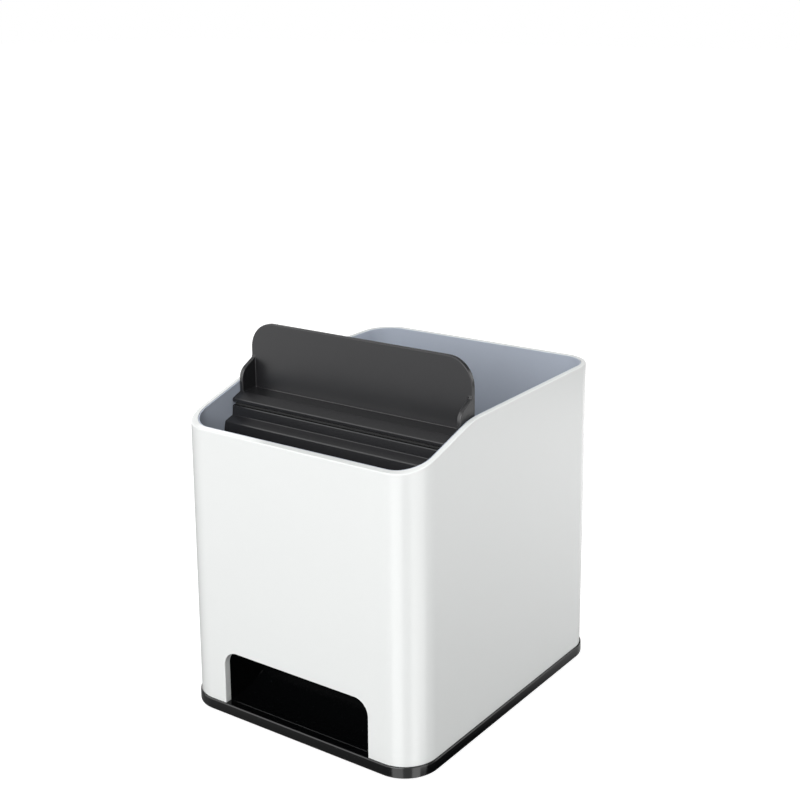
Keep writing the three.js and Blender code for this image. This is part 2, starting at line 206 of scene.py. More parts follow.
class SmallSizes(bpy.types.PropertyGroup):
    """Sizes of the seal, the pad and the feet."""
    seal_width: length("Seal width", "Width of the seal's band", 1.8)
    seal_rounding: length("Seal rounding", "Radius of the seal's edges", 0.2)
    pad_corner: length("Pad corner", "Radius of the pad's corners", 3)
    pad_rounding: length("Pad rounding", "Radius of the pad's edges", 0.25)
    foot_rounding: length("Foot rounding", "Radius of a foot's edges", 0.35)


class FinishColours(bpy.types.PropertyGroup):
    """Colours of the mouldings, the rubber and the steel."""
    white: colour("White ABS", "Colour of the outer box", "#eef0ef")
    blue_grey: colour("Blue-grey ABS", "Colour of the sleeve", "#bcc4d1")
    gloss_black: colour("Gloss black ABS", "Colour of the base and the horn", "#08090a")
    satin_black: colour("Satin black ABS", "Colour of the cradle and the backrest", "#1b1b1d")
    rubber: colour("Black rubber", "Colour of the seal, the pad and the feet", "#1a1a1b")
    zinc: colour("Zinc plate", "Colour of the screws", "#c3c7ca")


class StageSettings(bpy.types.PropertyGroup):
    """The photograph's view and the studio's light."""
    camera_place: FloatVectorProperty(
        name="Camera place", description="Where the camera stands", subtype="TRANSLATION",
        unit="LENGTH", size=3, default=(247.25 * MM, -335.4 * MM, 220.64 * MM))
    camera_turn: FloatProperty(
        name="Camera turn", description="Angle of the view round the holder from its front",
        default=math.radians(34.19), subtype="ANGLE", unit="ROTATION")
    camera_dip: FloatProperty(
        name="Camera dip", description="Angle at which the camera looks down",
        default=math.radians(12.46), subtype="ANGLE", unit="ROTATION")
    lens: FloatProperty(name="Lens", description="Focal length on the 36 mm sensor",
                        default=60.37, min=1)
    shift: FloatVectorProperty(name="Shift", description="Shift that the framing needs",
                               size=2, default=(-0.05625, -0.125))
    key_power: FloatProperty(name="Key power", description="Power of the light in front",
                             default=8.6, min=0, subtype="POWER", unit="POWER")
    side_power: FloatProperty(name="Side power", description="Power of the light over the side",
                              default=2.5, min=0, subtype="POWER", unit="POWER")
    top_power: FloatProperty(name="Top power", description="Power of the light overhead",
                             default=2.2, min=0, subtype="POWER", unit="POWER")
    fill_power: FloatProperty(name="Fill power", description="Power of the light on the far side",
                              default=2.5, min=0, subtype="POWER", unit="POWER")
    sky_strength: FloatProperty(name="Sky strength", description="Strength of the light all round",
                                default=0.5, min=0)
    corner_steps: IntProperty(name="Corner steps", description="Faces round an upright corner",
                              default=20, min=4)


# Small tools for modelling

def mode(name):
    """Switches the active piece's mode."""
    bpy.ops.object.mode_set(mode=name)


def activate(piece):
    """Makes a piece the only one that is selected and active."""
    bpy.ops.object.select_all(action="DESELECT")
    piece.select_set(True)
    bpy.context.view_layer.objects.active = piece


def settle(name):
    """Names the piece just added and applies its place and size."""
    piece = bpy.context.object
    piece.name = name
    bpy.ops.object.transform_apply(location=True, rotation=True, scale=True)
    return piece


def add_block(name, low, high):
    """A cube stretched from its low corner to its high corner."""
    bpy.ops.object.select_all(action="DESELECT")
    low, high = Vector(low), Vector(high)
    bpy.ops.mesh.primitive_cube_add(size=1, location=(low + high) / 2, scale=high - low)
    return settle(name)


def add_post(name, centre, bottom, top, radius):
    """An upright cylinder from its bottom to its top."""
    bpy.ops.object.select_all(action="DESELECT")
    bpy.ops.mesh.primitive_cylinder_add(vertices=POST_SIDES, radius=radius, depth=top - bottom,
                                        location=(centre[X], centre[Y], (bottom + top) / 2))
    return settle(name)


def select_where(piece, kind, passes):
    """Enters edit mode with the vertices, edges or faces selected that pass a test."""
    activate(piece)
    mode("EDIT")
    bpy.ops.mesh.select_mode(type=kind)
    bpy.ops.mesh.select_all(action="DESELECT")
    mode("OBJECT")
    mesh = piece.data
    if kind == "VERT":
        for vertex in mesh.vertices:
            vertex.select = passes(vertex.co)
    elif kind == "EDGE":
        for edge in mesh.edges:
            edge.select = passes(*[mesh.vertices[end].co for end in edge.vertices])
    else:
        for face in mesh.polygons:
            face.select = passes(face.center, face.normal)
    mode("EDIT")


def round_edges(piece, passes, radius, steps):
    """Rounds the right-angled edges that pass a test."""
    select_where(piece, "EDGE", passes)
    bpy.ops.mesh.bevel(offset_type="OFFSET", offset=radius, segments=steps, profile=0.5,
                       affect="EDGES", clamp_overlap=False)
    mode("OBJECT")


def along(axis):
    """A test for edges that run along one axis."""
    def passes(start, end):
        return sum(abs(start[other] - end[other]) > SAME_PLACE for other in (X, Y, Z)
                   if other != axis) == 0
    return passes


def column(name, low, high, radius, steps):
    """A block whose upright edges are rounded."""
    piece = add_block(name, low, high)
    round_edges(piece, along(Z), radius, steps)
    return piece


def bisect_at(piece, axis, places, **options):
    """Cuts new edges square round a piece at places along one axis."""
    normal = [float(axis == other) for other in (X, Y, Z)]
    activate(piece)
    mode("EDIT")
    for place in places:
        bpy.ops.mesh.select_all(action="SELECT")
        bpy.ops.mesh.bisect(plane_co=[place * share for share in normal], plane_no=normal, **options)
    mode("OBJECT")


def value_on(line, place):
    """The line's second value where its first value reaches a place."""
    if place <= line[0][0]:
        return line[0][1]
    for (before, low), (after, high) in zip(line, line[1:]):
        if place <= after:
            return low + (high - low) * (place - before) / (after - before)
    return line[-1][1]


def follow(piece, axis, side, level, line):
    """Slides the vertices of a flat side, which lies at a level, row by row onto a line."""
    rows = sorted({round(vertex.co[axis] / SAME_PLACE) for vertex in piece.data.vertices
                   if abs(vertex.co[side] - level) < SAME_PLACE})
    for row in rows:
        slide = value_on(line, row * SAME_PLACE) - level
        if abs(slide) < SAME_PLACE:
            continue
        select_where(piece, "VERT", lambda place: abs(place[side] - level) < SAME_PLACE
                     and round(place[axis] / SAME_PLACE) == row)
        bpy.ops.transform.translate(value=[slide * (side == other) for other in (X, Y, Z)])
        mode("OBJECT")


def modify(piece, kind, **settings):
    """Adds a modifier with its settings and applies it."""
    activate(piece)
    modifier = piece.modifiers.new(kind.title(), kind)
    for setting, value in settings.items():
        setattr(modifier, setting, value)
    bpy.ops.object.modifier_apply(modifier=modifier.name)


def carve(piece, *tools, operation="DIFFERENCE"):
    """Cuts tools out of a piece, or joins them to it, and clears them away."""
    for tool in tools:
        modify(piece, "BOOLEAN", object=tool, operation=operation, solver="EXACT")
        bpy.data.objects.remove(tool)


def shade(piece):
    """Shades a piece smooth, with its sharp edges and its flats kept."""
    activate(piece)
    bpy.ops.object.shade_smooth_by_angle(angle=SHARP)
    modify(piece, "WEIGHTED_NORMAL", keep_sharp=True, weight=100)


def smooth(piece, radius, clamp=True):
    """Clears what a cut leaves over, rounds all sharp edges a little, and shades the piece."""
    activate(piece)
    mode("EDIT")
    bpy.ops.mesh.select_all(action="SELECT")
    bpy.ops.mesh.remove_doubles(threshold=SAME_PLACE)
    bpy.ops.mesh.dissolve_limited(angle_limit=FLAT)
    mode("OBJECT")
    modify(piece, "BEVEL", width=radius, segments=EDGE_STEPS, limit_method="ANGLE",
           angle_limit=SHARP, miter_outer="MITER_ARC", use_clamp_overlap=clamp)
    shade(piece)


def seat(piece, slot, *nodes):
    """Puts a finished piece in the place of its nodes, with the material of its slot."""
    piece.data.materials.clear()
    piece.data.materials.append(material_of(slot))
    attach(piece, "root")
    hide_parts(*nodes)


def grown(low, high, margin, bottom, top, thickening=0):
    """A plan box's corners, moved out by a margin and in at the front by a thickening."""
    return ((low[X] - margin, low[Y] - margin + thickening, bottom),
            (high[X] + margin, high[Y] + margin, top))


def depth_inside(place, low, high, radius):
    """How far a place lies inside the faces of an upright block with rounded corners."""
    past = [abs(place[axis] - (low[axis] + high[axis]) / 2) - (high[axis] - low[axis]) / 2 + radius
            for axis in (X, Y)]
    return radius - (math.hypot(*past) if min(past) > 0 else max(past))


def rounded_line(corners, steps=10):
    """Points (along, up) of a line whose inner corners (along, up, radius) are rounded."""
    points = [Vector(corners[0][:2])]
    for before, corner, after in zip(corners, corners[1:], corners[2:]):
        here, radius = Vector(corner[:2]), corner[2]
        back = (Vector(before[:2]) - here).normalized()
        ahead = (Vector(after[:2]) - here).normalized()
        if not radius:
            points.append(here)
            continue
        half = back.angle(ahead) / 2
        centre = here + (back + ahead).normalized() * radius / math.sin(half)
        start = here + back * radius / math.tan(half) - centre
        end = here + ahead * radius / math.tan(half) - centre
        turn = math.atan2(start.cross(end), start.dot(end))
        for step in range(steps + 1):
            angle = turn * step / steps
            points.append(centre + Vector((
                start.x * math.cos(angle) - start.y * math.sin(angle),
                start.x * math.sin(angle) + start.y * math.cos(angle))))
    points.append(Vector(corners[-1][:2]))
    return points


# Materials

def new_material(name):
    """A node material that has no nodes yet."""
    material = bpy.data.materials.new(name)
    material.use_nodes = True
    material.node_tree.nodes.clear()
    return material


def add_node(tree, kind, settings=None, links=None):
    """Adds a node: settings name its properties or inputs, and links name what feeds an input."""
    node = tree.nodes.new(kind)
    for name, value in (settings or {}).items():
        if name in node.inputs:
            node.inputs[name].default_value = value
        else:
            setattr(node, name, value)
    for name, output in (links or {}).items():
        tree.links.new(output, node.inputs[name])
    return node


def moulded_plastic(name, finish, roughness, spread, grain, depth, tint, ior=1.53):
    """Injection-moulded plastic: its mould's grain as relief, and a faint drift of tone and gloss.

    The roughness drifts by its spread both ways, and the tint is the share by which the tone falls.
    The grain and its depth are in metres."""
    hue = getattr(bpy.context.scene.holder_finishes, finish)
    drift_width = 28 * MM
    material = new_material(name)
    tree = material.node_tree
    place = add_node(tree, "ShaderNodeTexCoord").outputs["Object"]
    drift = add_node(tree, "ShaderNodeTexNoise", {"Scale": 1 / drift_width, "Detail": 3.0},
                     {"Vector": place})
    relief = add_node(tree, "ShaderNodeTexNoise",
                      {"Scale": 1 / grain, "Detail": 2.0, "Roughness": 0.6}, {"Vector": place})
    darker = [share * (1 - tint) for share in hue]
    tone = add_node(tree, "ShaderNodeMix",
                    {"data_type": "RGBA"}, {"Factor": drift.outputs["Fac"]})
    tone.inputs[MIX_FIRST].default_value = (*darker, 1)
    tone.inputs[MIX_SECOND].default_value = (*hue, 1)
    gloss = add_node(tree, "ShaderNodeMapRange",
                     {"To Min": roughness - spread, "To Max": roughness + spread},
                     {"Value": drift.outputs["Fac"]})
    bump = add_node(tree, "ShaderNodeBump", {"Strength": 1.0, "Distance": depth},
                    {"Height": relief.outputs["Fac"]})
    shader = add_node(tree, "ShaderNodeBsdfPrincipled", {"IOR": ior},
                      {"Base Color": tone.outputs[MIX_RESULT], "Roughness": gloss.outputs["Result"],
                       "Normal": bump.outputs["Normal"]})
    add_node(tree, "ShaderNodeOutputMaterial", links={"Surface": shader.outputs["BSDF"]})
    return material


def white_abs():
    """Polished-mould ABS, pigmented white: a clear gloss over a ripple too low to feel."""
    return moulded_plastic("abs_white_polished", "white", roughness=0.2, spread=0.03,
                           grain=9 * MM, depth=0.006 * MM, tint=0.01)


def blue_grey_abs():
    """ABS from a finely eroded mould: a soft sheen. Its 0.1 mm grain is drawn at 0.7 mm to show."""
    return moulded_plastic("abs_blue_grey_satin", "blue_grey", roughness=0.42, spread=0.04,
                           grain=0.7 * MM, depth=0.008 * MM, tint=0.04)


def gloss_black_abs():
    """Polished-mould black ABS: deep black with sharp glints on its edges."""
    return moulded_plastic("abs_black_polished", "gloss_black", roughness=0.14, spread=0.03,
                           grain=8 * MM, depth=0.006 * MM, tint=0.05, ior=1.45)


def satin_black_abs():
    """Black ABS from an eroded mould: grey where it faces the light. Its grain is drawn at 0.6 mm."""
    return moulded_plastic("abs_black_satin", "satin_black", roughness=0.3, spread=0.05,
                           grain=0.6 * MM, depth=0.012 * MM, tint=0.06, ior=1.47)


def black_rubber():
    """Moulded rubber: dull, with a coarse skin of 0.5 mm that catches dust."""
    return moulded_plastic("rubber_black_moulded", "rubber", roughness=0.78, spread=0.08,
                           grain=0.5 * MM, depth=0.03 * MM, tint=0.12, ior=1.5)


def zinc_steel():
    """Zinc-plated steel: bright, with the fine lines that turning leaves.

    A Wave node of scale 1 goes through 20 radians over a metre, and one radian is the lines' width."""
    line_width = 0.3 * MM
    wave_radians = 20
    material = new_material("steel_zinc_plated")
    tree = material.node_tree
    place = add_node(tree, "ShaderNodeTexCoord").outputs["Object"]
    lines = add_node(tree, "ShaderNodeTexWave",
                     {"bands_direction": "Z", "Scale": 1 / line_width / wave_radians, "Distortion": 0.4},
                     {"Vector": place})
    gloss = add_node(tree, "ShaderNodeMapRange", {"To Min": 0.28, "To Max": 0.4},
                     {"Value": lines.outputs["Fac"]})
    shader = add_node(tree, "ShaderNodeBsdfPrincipled",
                      {"Base Color": (*bpy.context.scene.holder_finishes.zinc, 1), "Metallic": 1.0},
                      {"Roughness": gloss.outputs["Result"]})
    add_node(tree, "ShaderNodeOutputMaterial", links={"Surface": shader.outputs["BSDF"]})
    return material


MAKERS = {"white_gloss": white_abs, "grey_satin": blue_grey_abs, "black_gloss": gloss_black_abs,
          "black_satin": satin_black_abs, "black_rubber": black_rubber, "zinc_steel": zinc_steel}
made = {}


def material_of(slot):
    """The material of a slot, made the first time that a piece asks for it."""
    if slot not in made:
        made[slot] = MAKERS[slot]()
    return made[slot]


# The rim line, which shell and sleeve share

def rim_line(drop):
    """Points (back, up) of the rim, seen from the side and lowered by a drop."""
    sizes = bpy.context.scene.holder_shell
    front, rear = shell_low.y, shell_high.y
    low, high = sizes.front_rim - drop, shell_high.z - drop
    return rounded_line([
        (front - sizes.wall, low),
        (front + sizes.front_wall, low, sizes.blend_radius),
        (front + sizes.knee_setback, low + sizes.knee_rise, sizes.knee_radius),
        (rear - sizes.wall, high, 0),
        (rear + sizes.wall, high),
    ])


def thickening():
    """How much thicker the box's front wall is than its other walls."""
    sizes = bpy.context.scene.holder_shell
    return sizes.front_wall - sizes.wall


def sleeve(name, low, high, radius, wall, bottom, line, front_more=0):
    """An upright open sleeve whose upper edge follows a line from front to back."""
    level = high[Z] + wall
    piece = column(name, (low[X], low[Y], bottom), (high[X], high[Y], level), radius,
                   bpy.context.scene.holder_stage.corner_steps)
    straight = [place for place, _ in line if low[Y] + radius < place < high[Y] - radius]
    bisect_at(piece, Y, straight)
    select_where(piece, "FACE", lambda centre, normal: abs(normal.z) > abs(normal.x) + abs(normal.y))
    bpy.ops.mesh.delete(type="FACE")
    mode("OBJECT")
    modify(piece, "SOLIDIFY", thickness=wall, offset=-1, use_even_offset=True)
    select_where(piece, "VERT", lambda place: place.y < low[Y] + radius + SAME_PLACE
                 and depth_inside(place, low, high, radius) > wall / 2)
    bpy.ops.transform.translate(value=(0, front_more, 0))
    mode("OBJECT")
    follow(piece, Y, Z, level, line)
    return piece


class HOLDER_OT_outer_shell(bpy.types.Operator):
    """Models the white box with its sloping side rims and the sound port"""
    bl_idname = "pen_holder.outer_shell"
    bl_label = "Outer Shell"

    def execute(self, context):
        sizes = context.scene.holder_shell
        line = rim_line(0)
        piece = sleeve("white_shell", shell_low, shell_high, sizes.corner_radius, sizes.wall,
                       shell_low.z, line, thickening())
        past = sizes.front_wall
        port = add_block("port", (-sizes.port_width / 2, shell_low.y - past, shell_low.z - past),
                         (sizes.port_width / 2, shell_low.y + 2 * past, sizes.port_top))
        round_edges(port, lambda start, end: along(Y)(start, end) and start.z > shell_low.z,
                    sizes.port_corner, PORT_STEPS)
        carve(piece, port)
        # How far off its line or face an edge may lie
        near = sizes.port_rounding / 10
        round_edges(piece, lambda start, end: all(
            depth_inside(place, shell_low, shell_high, sizes.corner_radius) < near
            and abs(place.z - value_on(line, place.y)) < near for place in (start, end)),
            sizes.rim_rounding, RIM_STEPS)
        side, top = sizes.port_width / 2 + near, sizes.port_top + near
        round_edges(piece, lambda start, end: max(start.z, end.z) > shell_low.z + near and all(
            place.y < shell_low.y + near and abs(place.x) < side and place.z < top
            for place in (start, end)), sizes.port_rounding, EDGE_STEPS)
        shade(piece)
        seat(piece, "white_gloss", "outer_shell")
        return {"FINISHED"}


class HOLDER_OT_inner_liner(bpy.types.Operator):
    """Models the blue-grey sleeve and the rear bay's floor"""
    bl_idname = "pen_holder.inner_liner"
    bl_label = "Inner Liner"

    def execute(self, context):
        sizes = context.scene.holder_liner
        shell = context.scene.holder_shell
        gap = context.scene.holder_base.lip_gap
        inset = shell_high.y - liner_high.y
        low = Vector((shell_low.x + inset, liner_low.y, liner_low.z))
        high = Vector((shell_high.x - inset, liner_high.y, liner_high.z))
        radius = shell.corner_radius - inset
        piece = sleeve("grey_liner", low, high, radius, sizes.wall, low.z, rim_line(sizes.rim_drop))
        half = sizes.wall / 2
        floor = column("floor", (low.x + half, low.y + half, sizes.floor_top - sizes.floor_thickness),
                       (high.x - half, high.y - half, sizes.floor_top), radius - half,
                       context.scene.holder_stage.corner_steps)
        bisect_at(floor, Y, [cradle_high.y + gap], use_fill=True, clear_inner=True)
        carve(piece, floor, operation="UNION")
        near = sizes.edge_rounding
        round_edges(piece, lambda start, end: all(
            abs(place.z - sizes.floor_top) < SAME_PLACE
            and abs(depth_inside(place, low, high, radius) - sizes.wall) < near
            for place in (start, end)), sizes.floor_fillet, FLOOR_STEPS)
        carve(piece, add_block(
            "mouth", (horn_low.x - gap, low.y - sizes.wall, low.z - sizes.wall),
            (horn_high.x + gap, cradle_low.y, shell.port_top + context.scene.holder_horn.mouth_rise)))
        smooth(piece, sizes.edge_rounding)
        seat(piece, "grey_satin", "inner_liner")
        return {"FINISHED"}


class HOLDER_OT_base_plate(bpy.types.Operator):
    """Models the black base with its inner lip, screw pads and foot recesses"""
    bl_idname = "pen_holder.base_plate"
    bl_label = "Base Plate"

    def execute(self, context):
        sizes = context.scene.holder_base
        shell = context.scene.holder_shell
        steps = context.scene.holder_stage.corner_steps
        proud = shell_low.x - base_low.x
        inset = shell.wall + sizes.lip_gap
        past = base_high.z
        piece = column("black_base", *grown(shell_low, shell_high, proud, base_low.z, shell_low.z),
                       shell.corner_radius + proud, steps)
        round_edges(piece, lambda start, end: abs(start.z - end.z) < SAME_PLACE,
                    sizes.edge_rounding, BASE_EDGE_STEPS)
        lip = column("lip", *grown(shell_low, shell_high, -inset, sizes.floor_top / 2, base_high.z,
                                   thickening()), shell.corner_radius - inset, steps)
        carve(piece, lip, operation="UNION")
        inset += sizes.lip_wall
        well_low, well_high = grown(shell_low, shell_high, -inset, sizes.floor_top, past * 2,
                                    thickening())
        well = column("well", well_low, well_high, shell.corner_radius - inset, steps)
        mouth = add_block("mouth", (horn_low.x - sizes.lip_gap, shell_low.y + shell.front_wall,
                                    sizes.floor_top),
                          (horn_high.x + sizes.lip_gap, well_low[Y] + sizes.lip_gap, past * 2))
        carve(piece, well, mouth)
        for name in foot_names:
            low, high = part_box(name)
            centre = (low + high) / 2
            radius = (high.x - low.x) / 2 + sizes.recess_gap
            carve(piece, add_post("pad", centre, high.z, sizes.pad_top, sizes.pad_radius),
                  operation="UNION")
            carve(piece, add_post("recess", centre, low.z - past, high.z, radius),
                  add_post("hole", centre, low.z - past, past * 2, sizes.hole_radius))
        smooth(piece, sizes.inner_rounding)
        seat(piece, "black_gloss", "base_plate")
        return {"FINISHED"}


def stepped_block(name, inset, bottom):
    """The cradle's stepped body, drawn in by an inset on every face but the bottom."""
    sizes = bpy.context.scene.holder_cradle
    floor = bpy.context.scene.holder_shell.front_rim - sizes.trough_depth
    trough_back = cradle_low.y + sizes.trough_reach
    tread_front = trough_back + sizes.lower_lean
    tread_back = tread_front + sizes.tread_reach
    ledge_front = rest_low.y
    first = floor + sizes.lower_rise
    line = [(trough_back + inset, floor - inset), (tread_front + inset, first - inset),
            (tread_back + inset, first + sizes.tread_rise - inset),
            (ledge_front + inset, cradle_high.z - inset)]
    level = cradle_high.z + sizes.wall
    piece = add_block(name, (cradle_low.x + inset, cradle_low.y + inset, bottom),
                      (cradle_high.x - inset, cradle_high.y - inset, level))
    bisect_at(piece, Y, [place for place, _ in line])
    follow(piece, Y, Z, level, line)
    front = cradle_low.y + inset
    round_edges(piece, lambda start, end: along(Z)(start, end) and abs(start.y - front) < SAME_PLACE,
                sizes.corner_radius - inset, bpy.context.scene.holder_stage.corner_steps)
    return piece


class HOLDER_OT_cradle_housing(bpy.types.Operator):
    """Models the lower black moulding with the trough, its step and the sound inlet"""
    bl_idname = "pen_holder.cradle_housing"
    bl_label = "Cradle Housing"

    def execute(self, context):
        sizes = context.scene.holder_cradle
        gap = context.scene.holder_base.lip_gap
        bottom = base_high.z + gap
        past = sizes.wall
        piece = stepped_block("black_cradle", 0, bottom)
        step_front = cradle_low.y + sizes.trough_reach + sizes.lower_lean
        round_edges(piece, lambda start, end: along(X)(start, end) and min(
            abs(start.y - place) for place in (step_front, rest_low.y)) < SAME_PLACE,
            sizes.step_rounding, EDGE_STEPS)
        carve(piece, stepped_block("hollow", sizes.wall, bottom - past))
        front = cradle_low.y + sizes.wall + sizes.inlet_setback
        inlet = column("inlet", (-sizes.inlet_width / 2, front, horn_high.z),
                       (sizes.inlet_width / 2, front + sizes.inlet_reach, cradle_high.z),
                       sizes.inlet_corner, INLET_STEPS)
        mouth_top = context.scene.holder_shell.port_top + context.scene.holder_horn.mouth_rise
        mouth = add_block("mouth", (horn_low.x - gap, cradle_low.y - past, bottom - past),
                          (horn_high.x + gap, cradle_low.y + sizes.wall + gap, mouth_top))
        carve(piece, inlet, mouth)
        smooth(piece, sizes.edge_rounding)
        seat(piece, "black_satin", "cradle_housing")
        return {"FINISHED"}


class HOLDER_OT_backrest(bpy.types.Operator):
    """Models the upper black moulding: a plate with rounded ears, cheeks and a sloping ledge"""
    bl_idname = "pen_holder.backrest"
    bl_label = "Backrest"

    def execute(self, context):
        sizes = context.scene.holder_backrest
        half, rear = rest_high.x, rest_high.y
        front = rear - sizes.plate
        cheek_front = front - sizes.cheek_reach
        bottom = seal_high.z
        edge_top = bottom + sizes.ledge_edge
        ledge_top = edge_top + sizes.ledge_rise
        neck = ledge_top + sizes.cheek_rise
        cheek_line = rounded_line([
            (cheek_front, ledge_top), (cheek_front, neck - sizes.cheek_fall, sizes.cheek_radius),
            (front, neck, sizes.neck_radius), (front, neck + sizes.cheek_fall)], CHEEK_STEPS)[1:-1]
        cheek_top = cheek_line[-1].y
        plate = add_block("black_backrest", (-half, front, bottom), (half, rear, rest_high.z))
        round_edges(plate, lambda start, end: along(Y)(start, end) and start.z > ledge_top,
                    sizes.ear_radius, EAR_STEPS)
        middle = front + sizes.plate / 2
        ledge = add_block("ledge", (-half, rest_low.y, bottom), (half, middle, ledge_top))
        bisect_at(ledge, Y, [cheek_front])
        follow(ledge, Y, Z, ledge_top, [(rest_low.y, edge_top), (cheek_front, ledge_top)])
        carve(plate, ledge, operation="UNION")
        for side in (-1, 1):
            left, right = sorted((side * half, side * (half - sizes.cheek)))
            cheek = add_block("cheek", (left, cheek_front, (bottom + edge_top) / 2),
                              (right, middle, cheek_top))
            bisect_at(cheek, Y, [place for place, _ in cheek_line[1:]])
            follow(cheek, Y, Z, cheek_top, cheek_line)
            carve(plate, cheek, operation="UNION")
        smooth(plate, sizes.edge_rounding, clamp=False)
        seat(plate, "black_satin", "backrest")
        return {"FINISHED"}


class HOLDER_OT_joint_seal(bpy.types.Operator):
    """Models the seal that lies set back between the two black mouldings"""
    bl_idname = "pen_holder.joint_seal"
    bl_label = "Joint Seal"

    def execute(self, context):
        sizes = context.scene.holder_small
        piece = add_block("joint_band", seal_low, seal_high)
        carve(piece, add_block("opening", *grown(seal_low, seal_high, -sizes.seal_width,
                                                 seal_low.z - MM, seal_high.z + MM)))
        smooth(piece, sizes.seal_rounding)
        seat(piece, "black_rubber", "joint_seal")
        return {"FINISHED"}


def horn_line(outset):
    """Points (up, back) of the horn's rear wall, moved back and down by an outset.

    From the desk up it is a quarter ellipse and then narrows evenly, by share, to the throat."""
    sizes = bpy.context.scene.holder_horn
    steps = 24
    front = cradle_low.y + bpy.context.scene.holder_cradle.wall
    reach = horn_high.y - sizes.wall - front
    floor = horn_low.z + sizes.wall
    bend = floor + reach * sizes.bend_share
    points = []
    for step in range(steps + 1):
        turn = (1 - step / steps) * math.pi / 2
        points.append((bend - (bend - floor + outset) * math.sin(turn),
                       front + (reach + outset) * math.cos(turn)))
    for step in range(1, steps + 1):
        share = 1 - step / steps
        depth = sizes.throat * (reach / sizes.throat) ** share
        points.append((horn_high.z + (bend - horn_high.z) * share, front + depth + outset))
    return points


def curved_block(name, half, front, line, top):
    """A block whose rear side follows a line from its bottom to its top."""
    level = cradle_high.y
    piece = add_block(name, (-half, front, line[0][0]), (half, level, top))
    bisect_at(piece, Z, [place for place, _ in line[1:-1]])
    follow(piece, Z, Y, level, line)
    return piece


class HOLDER_OT_horn_body(bpy.types.Operator):
    """Models the horn that widens from the inlet and bends forward to the port"""
    bl_idname = "pen_holder.horn_body"
    bl_label = "Horn Body"

    def execute(self, context):
        sizes = context.scene.holder_horn
        shell = context.scene.holder_shell
        half = horn_high.x - sizes.wall
        front = cradle_low.y + context.scene.holder_cradle.wall + sizes.front_gap
        mouth_top = shell.port_top + sizes.side_gap
        collar_top = mouth_top + sizes.wall
        far = shell_low.y - shell.wall
        piece = curved_block("black_horn", horn_high.x, horn_low.y, horn_line(sizes.wall), horn_high.z)
        carve(piece, add_block("front", (-shell_high.x, far, collar_top),
                               (shell_high.x, front, horn_high.z + sizes.wall)))
        passage = curved_block("passage", half, far, horn_line(0), horn_high.z + sizes.wall)
        carve(passage, add_block("lintel", (-shell_high.x, horn_low.y, mouth_top),
                                 (shell_high.x, front + sizes.wall, collar_top)))
        carve(piece, passage)
        smooth(piece, sizes.edge_rounding)
        seat(piece, "black_gloss", "horn_body")
        return {"FINISHED"}


class HOLDER_OT_slot_pad(bpy.types.Operator):
    """Models the rubber pad round the inlet, on the trough's floor"""
    bl_idname = "pen_holder.slot_pad"
    bl_label = "Slot Pad"

    def execute(self, context):
        sizes = context.scene.holder_small
        cradle = context.scene.holder_cradle
        piece = column("trough_pad", pad_low, pad_high, sizes.pad_corner, PAD_STEPS)
        front = cradle_low.y + cradle.wall + cradle.inlet_setback
        carve(piece, column("opening", (-cradle.inlet_width / 2, front, pad_low.z - MM),
                            (cradle.inlet_width / 2, front + cradle.inlet_reach, pad_high.z + MM),
                            cradle.inlet_corner, INLET_STEPS))
        smooth(piece, sizes.pad_rounding)
        seat(piece, "black_rubber", "slot_pad")
        return {"FINISHED"}


class HOLDER_OT_feet(bpy.types.Operator):
    """Models the four rubber feet"""
    bl_idname = "pen_holder.feet"
    bl_label = "Feet"

    def execute(self, context):
        for name in foot_names:
            low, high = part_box(name)
            piece = add_post(f"rubber_{name}", (low + high) / 2, low.z, high.z, (high.x - low.x) / 2)
            smooth(piece, context.scene.holder_small.foot_rounding)
            seat(piece, "black_rubber", name)
        return {"FINISHED"}


class HOLDER_OT_screws(bpy.types.Operator):
    """Gives the four base screws their zinc-plated steel"""
    bl_idname = "pen_holder.screws"
    bl_label = "Screws"

    def execute(self, context):
        for name in screw_names:
            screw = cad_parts[name]
            screw.data.materials.clear()
            screw.data.materials.append(material_of("zinc_steel"))
        return {"FINISHED"}


# The soft lights. Each has its name, its place and its size in millimetres, and its power's setting.
LIGHTS = [
    ("key_light", (186, -1053, 605), 700, "key_power"),
    ("side_light", (750, 750, 340), 500, "side_power"),
    ("top_light", (0, 0, 1300), 400, "top_power"),
    ("fill_light", (-900, 450, 300), 600, "fill_power"),
]

# The studio's cards, which only gloss shows. Each has its name, its turn from the front in degrees at
# both ends, its bottom and top in metres, and the strength of its lower and of its upper part.
CARDS = [
    ("front_strip", -4, 28, -1.8, 1.8, 2.6, 2.6),
    ("corner_gap", 28, 54, -1.8, 1.8, 0.95, 0.95),
    ("corner_strip", 54, 78, -1.8, 1.8, 3.2, 3.2),
    ("lower_strip", 78, 98, -1.8, -0.84, 0.5, 0.5),
    ("upper_strip", 78, 98, -0.84, 1.8, 3.1, 3.1),
    ("right_side", 98, 190, -1.8, -0.3, 0.0, 1.8),
    ("right_dusk", 98, 190, -0.3, 1.8, 0.3, 0.3),
    ("rear_side", 190, 290, -1.8, 1.8, 0.2, 0.4),
    ("left_side", 290, 356, -1.8, -0.1, 0.2, 1.1),
    ("edge_light", 290, 356, -0.1, 1.8, 3.0, 3.0),
]


